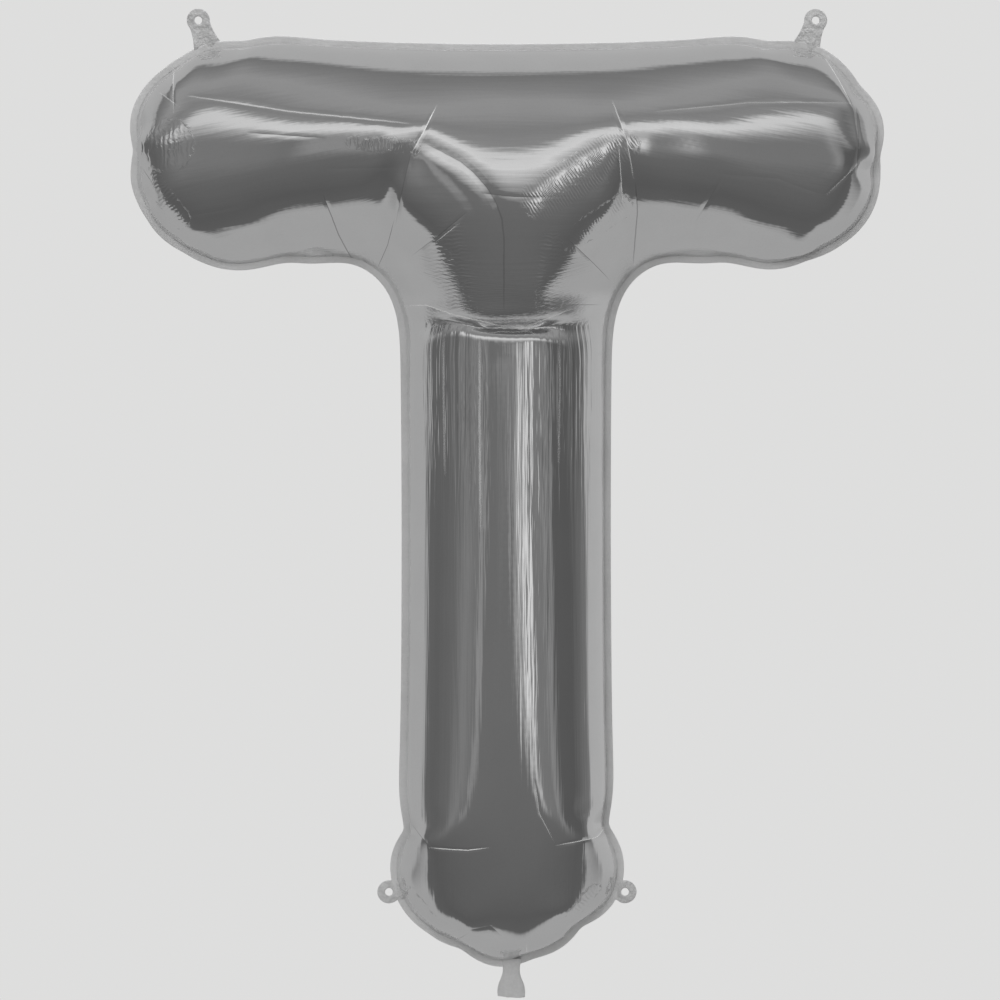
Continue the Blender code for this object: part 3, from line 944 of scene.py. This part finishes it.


# %% [markdown]
# ## Creases and crimps
# Finer folds than the simulated mesh can hold are drawn by their places. A crease is a sharp groove along a
# bent line. Its line has light and shade painted into the colour: a whitened line is a painted highlight along
# a sharp fold, partly crazed aluminium, and a dark line is painted shade in a closed fold. A crimp row is a
# patch of short ripples that stand side by side, as film does when it is squeezed.
# A sharp line needs no fine mesh if the mesh carries its distance to the line: a distance changes evenly over
# a face, so the shader can read back where it is zero. Creases that lie close together get separate layers,
# because one point can only hold one distance in each.

# %% Crease and crimp tables, millimetres from where bar and stem cross
FRONT_CREASES = [  # width, depth, tone of the line from -1 painted shade to 1 painted highlight, then its points as x, z
    (3.5, 0.30, 0.9, (-66, 27), (-76, 6), (-84, -8)),
    (3.5, 0.25, -0.3, (-87, -13), (-94, -40), (-101, -72)),
    (2.5, 0.18, -0.9, (-104, -74), (-110, -92), (-119, -108)),
    (3.5, 0.25, -0.9, (-166, -52), (-155, -82), (-142, -106)),
    (3.0, 0.20, -0.5, (-83, -100), (-60, -85), (-40, -69)),
    (2.5, 0.20, 0.6, (-62, -90), (-46, -78)),
    (4.5, 0.30, -0.4, (-19, -50), (7, -53), (31, -53)),
    (5.5, 0.25, -0.4, (-70, -6), (-60, -11), (-42, -21), (-29, -32), (-18, -45), (-10, -58), (-5, -72),
     (-3, -88), (-3, -150)),
    (4.0, 0.35, 0.5, (97, 32), (108, 0), (114, -30)),
    (4.0, 0.35, -0.7, (117, -42), (119, -62), (117, -105)),
    (3.0, 0.20, 0.7, (101, -7), (105, -54)),
    (2.5, 0.22, -0.8, (59, -93), (92, -121)),
    (3.0, 0.20, -0.5, (53, -148), (82, -146)),
    (4.0, 0.22, -0.1, (174, -69), (193, -37)),
    (3.5, 0.32, 0.6, (-94, -146), (-75, -147), (-49, -157), (-8, -167), (21, -167), (58, -152)),
    (9.0, 0.30, -0.30, (-34, -180), (-34, -250), (-33, -330)),
    (8.0, 0.25, 0.35, (-25, -182), (-25, -260), (-24, -350)),
    (7.0, 0.25, 0.25, (-58, -180), (-58, -230), (-57, -300)),
    (9.0, 0.25, -0.25, (61, -178), (61, -230), (60, -300)),
    (7.0, 0.25, 0.25, (48, -180), (48, -230), (47, -290)),
    (3.0, 0.30, 0.5, (296, 83), (317, 40)),
    (3.0, 0.20, -0.4, (261, 103), (263, 91)),
    (3.0, 0.25, -0.4, (322, 35), (324, 8), (322, -21)),
    (3.0, 0.28, 0.3, (296, -43), (321, -19)),
    (4.0, 0.10, 0.0, (195, -29), (247, -32), (290, -46)),
    (4.5, 0.18, 0.2, (138, 27), (220, 37), (317, 40)),
    (5.0, 0.22, 0.5, (-290, 45), (-197, 28), (-92, 15)),
    (3.0, 0.30, 0.5, (-309, 74), (-307, 35)),
    (3.5, 0.30, 0.4, (-319, 49), (-306, 39)),
    (4.0, 0.14, -0.3, (-234, 9), (-169, 3)),
    (3.0, 0.10, 0.0, (-162, -25), (-100, -25)),
    (4.0, 0.12, 0.0, (-300, -66), (-250, -58)),
    (3.0, 0.30, -0.5, (-336, -21), (-329, -31)),
    (3.0, 0.35, 1.0, (-67, -645), (-36, -646), (-21, -644)),
    (3.0, 0.32, 0.8, (49, -641), (83, -636), (99, -624)),
    (3.0, 0.22, -0.4, (-87, -627), (-74, -640)),
    (3.0, 0.25, -0.4, (-49, -735), (-40, -728)),
    (2.5, 0.25, 0.4, (18, -738), (18, -748)),
    (4.0, 0.12, 0.0, (-36, -722), (-15, -717), (1, -733)),
    (3.0, 0.20, 0.4, (26, -586), (29, -611), (40, -633))]
BACK_CREASES = [
    (3.5, 0.32, 0.4, (-74, 30), (-92, -18), (-106, -78)),
    (3.0, 0.25, -0.7, (-150, -50), (-137, -104)),
    (4.0, 0.34, 0.4, (88, 34), (104, -6), (110, -62), (118, -107)),
    (2.5, 0.22, -0.7, (62, -90), (94, -120)),
    (2.5, 0.22, -0.7, (-64, -88), (-96, -118)),
    (3.5, 0.32, 0.6, (-92, -148), (-50, -160), (6, -168), (56, -158), (90, -147)),
    (5.0, 0.20, 0.2, (-300, 52), (-180, 30)),
    (5.0, 0.20, 0.2, (160, 28), (310, 42)),
    (3.0, 0.32, 0.8, (-80, -640), (-30, -645)),
    (3.0, 0.32, 0.8, (36, -642), (84, -636)),
    (4.0, 0.14, 0.0, (-20, -725), (10, -716))]
FRONT_CRIMPS = [  # start, end, reach, pitch, depth
    ((31, -54), (101, -9), 20, 2.7, 0.05), ((56, -90), (103, -60), 12, 2.7, 0.05),
    ((-53, -93), (-48, -151), 22, 3.4, 0.05), ((41, -95), (38, -145), 14, 3.6, 0.05),
    ((-140, -2), (-83, -7), 7, 3.2, 0.05), ((-78, -157), (-78, -252), 8, 2.6, 0.03),
    ((88, -157), (88, -186), 6, 2.6, 0.03), ((-345, 0), (-312, 0), 26, 4.8, 0.10),
    ((-329, -28), (-301, -67), 10, 3.6, 0.08), ((-55, -731), (-90, -689), 6, 3.5, 0.05),
    ((45, -726), (82, -684), 6, 3.5, 0.05), ((-29, -743), (8, -749), 5, 3, 0.04)]
BACK_CRIMPS = [
    ((-101, -10), (-40, -56), 18, 2.8, 0.05), ((36, -58), (96, -12), 16, 3.0, 0.05),
    ((-50, -95), (-46, -150), 16, 3.4, 0.05), ((318, -10), (344, -10), 22, 4.6, 0.09),
    ((50, -728), (86, -690), 7, 3.5, 0.05)]
STREAK_PATCHES = [  # centre x, z, spread in x, spread in z, how many times deeper the streaks are there
    (-46, -225, 30, 92, 7.5), (52, -225, 34, 88, 5.0), (20, -420, 22, 160, 1.2)]
ARC_RISE = (-0.169, 2.3)           # height of the taut arc at the middle, and its rise with x squared

# %% Distances to the lines
CREASE_LAYERS = 4
DEPTH_MARGIN = 0.0045              # one mesh step, which the depth reaches past the groove
OFFSET_MARGIN = 2.2 * DEPTH_MARGIN   # the offset reaches further, so that it is right wherever there is depth
END_FADE = 0.005
END_STRENGTH = 0.45                # share of the depth that is left near a crease's ends
ARC_FADE = 0.006                   # length over which the streaks start below the arc


def line_offsets(points, line):
    """Signed offset from a bent line, how far past its ends a point is, and the share of the way along."""
    best = np.full(len(points), FAR)
    signed, beyond, share = np.zeros(len(points)), np.zeros(len(points)), np.zeros(len(points))
    lengths = [np.linalg.norm(b - a) for a, b in zip(line[:-1], line[1:])]
    run = 0.0
    for number, (a, b) in enumerate(zip(line[:-1], line[1:])):
        way = (b - a) / lengths[number]
        along = (points - a) @ way
        held = np.clip(along, 0, lengths[number])
        gap = np.hypot(*(points - a - held[:, None] * way).T)
        across = way[0] * (points[:, 1] - a[1]) - way[1] * (points[:, 0] - a[0])
        closer = gap < best
        best[closer] = gap[closer]
        at_start = closer & (along < 0) & (number == 0)
        at_end = closer & (along > lengths[number]) & (number == len(lengths) - 1)
        signed[closer] = (np.sign(across) * gap)[closer]
        signed[at_start | at_end] = across[at_start | at_end]
        beyond[closer] = 0
        beyond[at_start] = -along[at_start]
        beyond[at_end] = (along - lengths[number])[at_end]
        share[closer] = (run + held[closer]) / sum(lengths)
        run += lengths[number]
    return signed, beyond, share


def lay_creases(piece, creases):
    """Writes the offset to the nearest crease, in crease widths, its depth and its tone, which paints shade
    (below 0) and a highlight (above 0) on its line, layer by layer.
    """
    points = front_places(piece)
    offset = np.full((CREASE_LAYERS, len(points)), 3.0)
    depth, shade_and_highlight = np.zeros((2, CREASE_LAYERS, len(points)))
    taken = np.zeros((CREASE_LAYERS, len(points)), bool)
    left_out = 0
    for width, deep, tone, *corners in creases:
        width, deep = width / 1000, deep / 1000
        signed, beyond, share = line_offsets(points, [np.array(c) / 1000 for c in corners])
        near = (np.abs(signed) < width + DEPTH_MARGIN) & (beyond < END_FADE + DEPTH_MARGIN)
        around = (np.abs(signed) < width + OFFSET_MARGIN) & (beyond < END_FADE + OFFSET_MARGIN)
        free_layer = next((k for k in range(CREASE_LAYERS) if not (taken[k] & around).any()), None)
        if free_layer is None:
            left_out += 1
            continue
        fade = np.clip(1 - beyond / END_FADE, 0, 1) * np.minimum(1, END_STRENGTH + 4 * share * (1 - share))
        offset[free_layer][around] = signed[around] / width
        depth[free_layer][near] = (deep * fade)[near]
        # The tone paints the line: below 0 painted shade, above 0 a painted highlight.
        shade_and_highlight[free_layer][near] = (tone * fade)[near]
        taken[free_layer] |= around
    for k in range(CREASE_LAYERS):
        for label, values in (("offset", offset[k]), ("depth", depth[k]), ("tone", shade_and_highlight[k])):
            carry(piece.data, f"crease_{label}_{k}", values)
    print(piece.name, "creases laid:", len(creases) - left_out, "left out:", left_out)


def lay_crimps(piece, rows):
    """Writes how many ripples along its row a point is, and how deep the ripples are there."""
    points = front_places(piece)
    turns, depth = np.zeros(len(points)), np.zeros(len(points))
    for first, last, reach, pitch, deep in rows:
        a, b = np.array(first) / 1000, np.array(last) / 1000
        length = np.linalg.norm(b - a)
        way = (b - a) / length
        along = (points - a) @ way
        gap = np.hypot(*(points - a - np.clip(along, 0, length)[:, None] * way).T) / (reach / 1000)
        strength = deep / 1000 * np.clip(1 - gap, 0, 1) ** 0.7
        stronger = strength > depth
        depth[stronger] = strength[stronger]
        turns[stronger] = along[stronger] / (pitch / 1000)
    carry(piece.data, "crimp_turns", turns)
    carry(piece.data, "crimp_depth", depth)


def lay_streaks(piece):
    """Writes how many times deeper the streaks along the stroke are. They start below the taut arc."""
    points = front_places(piece)
    gain = np.zeros(len(points))
    for x, z, wide, tall, times in STREAK_PATCHES:
        gain += times * bell(points[:, 0] * 1000 - x, wide) * bell(points[:, 1] * 1000 - z, tall)
    under_arc = np.clip((ARC_RISE[0] + ARC_RISE[1] * points[:, 0] ** 2 - points[:, 1]) / ARC_FADE, 0, 1)
    carry(piece.data, "streak_gain", 1 + gain * under_arc)


for film in (front_film, back_film):
    lay_streaks(film)
lay_creases(front_film, FRONT_CREASES)
lay_creases(back_film, BACK_CREASES)
lay_crimps(front_film, FRONT_CRIMPS)
lay_crimps(back_film, BACK_CRIMPS)


# %% [markdown]
# ## Shared effects
# Effects that more than one material uses are shader groups with named inputs, built once. The heights that
# they put out are in metres.

# %% Crease and crimp groups
crease_group, given, result = new_group(
    "crease", [("Offset", "Float", 3.0), ("Depth", "Float", 0.0), ("Tone", "Float", 0.0)],
    [("Height", "Float"), ("Tone", "Float")])
tree = crease_group
gap = calculate(tree, "ABSOLUTE", given["Offset"])
near = calculate(tree, "MAXIMUM", calculate(tree, "SUBTRACT", 1.0, gap), 0.0)
groove = calculate(tree, "POWER", near, 1.5)
tree.links.new(calculate(tree, "MULTIPLY", groove, calculate(tree, "MULTIPLY", given["Depth"], -1.0)),
               result["Height"])
# The line's tone is painted light: dark is painted shade in a closed fold, whitened is a painted highlight.
in_line = map_range(tree, near, 0.80, 0.96)
tree.links.new(calculate(tree, "MULTIPLY", in_line, given["Tone"]), result["Tone"])

crimp_group, given, result = new_group(
    "crimp row", [("Turns", "Float", 0.0), ("Wobble", "Float", 0.0), ("Depth", "Float", 0.0)],
    [("Height", "Float")])
tree = crimp_group
turned = calculate(tree, "ADD", given["Turns"], calculate(tree, "MULTIPLY", given["Wobble"], 1.6))
wave = calculate(tree, "SINE", calculate(tree, "MULTIPLY", turned, 2 * math.pi))
patchy = map_range(tree, given["Wobble"], 0.3, 0.5)
tree.links.new(calculate(tree, "MULTIPLY", calculate(tree, "MULTIPLY", wave, patchy), given["Depth"]),
               result["Height"])
print("groups:", crease_group.name, "and", crimp_group.name)

# %% Streak group, tone group and seal group
streak_group, given, result = new_group(
    "film streaks", [("Place", "Vector", (0, 0, 0)), ("Across", "Vector", (1, 1, 1)),
                     ("Depth", "Float", 0.00005)], [("Height", "Float")])
tree = streak_group
stretched = calculate_vector(tree, "MULTIPLY", given["Place"], given["Across"])
centred = calculate(tree, "SUBTRACT", noise(tree, stretched, 1.0, 3.0), 0.5)
tree.links.new(calculate(tree, "MULTIPLY", centred, given["Depth"]), result["Height"])

tone_group, given, result = new_group(
    "foil tone", [("Place", "Vector", (0, 0, 0)), ("Light", "Color", (0.85, 0.85, 0.85, 1)),
                  ("Dull", "Color", (0.8, 0.8, 0.8, 1)), ("Smooth", "Float", 0.06), ("Rough", "Float", 0.12)],
    [("Color", "Color"), ("Roughness", "Float")])
tree = tone_group
clouds = calculate(tree, "MULTIPLY", noise(tree, given["Place"], 26.0, 5.0), 0.7)
specks = calculate(tree, "MULTIPLY", noise(tree, given["Place"], 420.0, 2.0), 0.3)
mask = map_range(tree, calculate(tree, "ADD", clouds, specks), 0.35, 0.65)
tree.links.new(mix_colours(tree, mask, given["Light"], given["Dull"]), result["Color"])
tree.links.new(map_range(tree, mask, 0.0, 1.0, given["Smooth"], given["Rough"]), result["Roughness"])

seal_group, given, result = new_group(
    "seal marks", [("Along", "Float", 0.0), ("Across", "Float", 0.0), ("Pitch", "Float", 0.0022),
                   ("Depth", "Float", 0.00008)], [("Height", "Float")])
tree = seal_group
turn = 2 * math.pi
lengthways = calculate(tree, "DIVIDE", given["Along"], given["Pitch"])
crossways = calculate(tree, "DIVIDE", given["Across"], given["Pitch"])
rising, falling = (
    calculate(tree, "SINE", calculate(tree, "MULTIPLY", calculate(tree, way, lengthways, crossways), turn))
    for way in ("ADD", "SUBTRACT"))
knurl = calculate(tree, "MULTIPLY", rising, falling)
tree.links.new(calculate(tree, "MULTIPLY", knurl, given["Depth"]), result["Height"])
print("groups:", streak_group.name, ",", tone_group.name, "and", seal_group.name)


# %% [markdown]
# ## Silver foil
# The finish is bare aluminium on film: a neutral grey mirror with a slight bloom. What tells it from chrome is
# in its surface: sharp creases that run out from the inner corners, a taut arc across the top of the stem,
# rows of tiny crimps beside them, and faint streaks along each stroke. One material serves both panels, since
# each panel carries the places of its own creases.

# %% Foil material
STREAK_DEPTH = 0.00022
STEM_STREAKS, BAR_STREAKS = (190, 7, 1), (8, 90, 1)      # waves for a metre across and up the pattern
STREAKS_TURN = (0.62, 0.72)        # heights on the pattern between which the streaks turn into the bar
PAINTED_SHADE_MOST, PAINTED_HIGHLIGHT_MOST = 0.75, 0.85      # the most painted shade and painted highlight that a crease's line puts on the foil


def add_heights(tree, heights):
    total = heights[0]
    for height in heights[1:]:
        total = calculate(tree, "ADD", total, height)
    return total


def foil_material(name):
    material, tree, foil = new_material(name)

    def carried(label):
        return place(tree, "ShaderNodeAttribute", attribute_name=label).outputs["Fac"]

    spot = object_place(tree)
    ragged = noise(tree, spot, 110.0, 2.0)
    sway = calculate(tree, "MULTIPLY", calculate(tree, "SUBTRACT", ragged, 0.5), 0.2)
    heights, shade_and_highlight = [], []
    for k in range(CREASE_LAYERS):
        swayed = calculate(tree, "ADD", carried(f"crease_offset_{k}"), sway)
        crease = use_group(tree, crease_group, {
            "Offset": swayed, "Depth": carried(f"crease_depth_{k}"), "Tone": carried(f"crease_tone_{k}")})
        heights.append(crease["Height"])
        shade_and_highlight.append(crease["Tone"])
    heights.append(use_group(tree, crimp_group, {"Turns": carried("crimp_turns"), "Wobble": ragged,
                                                 "Depth": carried("crimp_depth")})[0])
    pattern = place(tree, "ShaderNodeUVMap", uv_map="flat_pattern").outputs["UV"]
    axes = place(tree, "ShaderNodeSeparateXYZ", {"Vector": pattern}).outputs
    in_bar = map_range(tree, axes["Y"], *STREAKS_TURN, soft=True)
    along_stroke = place(tree, "ShaderNodeMix", {0: in_bar, 4: STEM_STREAKS, 5: BAR_STREAKS},
                         data_type="VECTOR").outputs[1]
    streak_depth = calculate(tree, "MULTIPLY", carried("streak_gain"), STREAK_DEPTH)
    heights.append(use_group(tree, streak_group, {"Place": pattern, "Across": along_stroke,
                                                  "Depth": streak_depth})["Height"])
    tone = use_group(tree, tone_group, {
        "Place": spot, "Light": (0.85, 0.85, 0.852, 1), "Dull": (0.82, 0.82, 0.822, 1), "Smooth": 0.03,
        "Rough": 0.07})
    # The creases' lines paint light into the colour: painted shade darkens it, and a painted highlight whitens
    # it and makes it less metallic.
    painted_light_line = add_heights(tree, shade_and_highlight)
    painted_shade = map_range(tree, painted_light_line, 0.0, -1.0, 0.0, PAINTED_SHADE_MOST)
    painted_highlight = map_range(tree, painted_light_line, 0.0, 1.0, 0.0, PAINTED_HIGHLIGHT_MOST)
    shaded_colour = mix_colours(tree, painted_shade, tone["Color"], plain(0.22))
    fill(tree, foil, {"Base Color": mix_colours(tree, painted_highlight, shaded_colour, plain(0.95)),
                      "Metallic": calculate(tree, "SUBTRACT", 1.0, painted_highlight), "Roughness": tone["Roughness"],
                      "Normal": bump(tree, add_heights(tree, heights))})
    return material


silver_foil = foil_material("silver_foil_film")
for film in (front_film, back_film):
    film.data.materials.append(silver_foil)
print("foil nodes:", len(silver_foil.node_tree.nodes))


# %% [markdown]
# ## Sealed film and valve film
# Where the films are fused the mirror is broken by the sealing tool's fine knurl, so the rim, the tabs and the
# tail are the same silver, a little duller. The valve strip is clear plastic film, seen milky because it is
# thin and doubled.

# %% Rim, tab and tail materials
def sealed_material(name, along, across, pitch, depth, crumpled, metal, light, dull):
    """Fused film. along and across give the knurl its place: UV or object coordinates."""
    material, tree, film = new_material(name)
    spot = object_place(tree)
    where = place(tree, "ShaderNodeUVMap", uv_map=along).outputs["UV"] if across is None else spot
    axes = place(tree, "ShaderNodeSeparateXYZ", {"Vector": where}).outputs
    second = axes["Y"] if across is None else axes[across]
    knurl = use_group(tree, seal_group, {
        "Along": axes["X"], "Across": second, "Pitch": pitch, "Depth": depth})
    crumple = use_group(tree, streak_group, {"Place": spot, "Across": (150, 150, 150), "Depth": crumpled})
    height = calculate(tree, "ADD", knurl["Height"], crumple["Height"])
    tone = use_group(tree, tone_group, {
        "Place": spot, "Light": plain(light), "Dull": plain(dull), "Smooth": 0.30, "Rough": 0.42})
    fill(tree, film, {"Metallic": metal, "Base Color": tone["Color"], "Roughness": tone["Roughness"],
                      "Normal": bump(tree, height)})
    return material


sealed_rim.data.materials.append(
    sealed_material("sealed_rim_film", "along_rim", None, 0.0022, 0.00003, 0.0004, 0.25, 0.70, 0.62))
tab_film = sealed_material("tab_film", None, "Z", 0.0016, 0.00005, 0.0022, 0.50, 0.80, 0.66)
for tab in tabs:
    tab.data.materials.append(tab_film)
tail.data.materials.append(sealed_material("tail_film", None, "Z", 0.0020, 0.00004, 0.0010, 0.35, 0.74, 0.64))

# %% Valve film
valve_material, tree, film = new_material("valve_clear_film")
spot = object_place(tree)
tone = use_group(tree, tone_group, {
    "Place": spot, "Light": (0.82, 0.83, 0.84, 1), "Dull": (0.70, 0.71, 0.72, 1),
    "Smooth": 0.18, "Rough": 0.34})
lines = use_group(tree, streak_group, {"Place": spot, "Across": (900, 900, 90), "Depth": 0.0001})
fill(tree, film, {"Base Color": tone["Color"], "Roughness": tone["Roughness"],
                  "Normal": bump(tree, lines["Height"])})
valve.data.materials.append(valve_material)
print("materials:", sorted(m.name for m in bpy.data.materials if m.users))
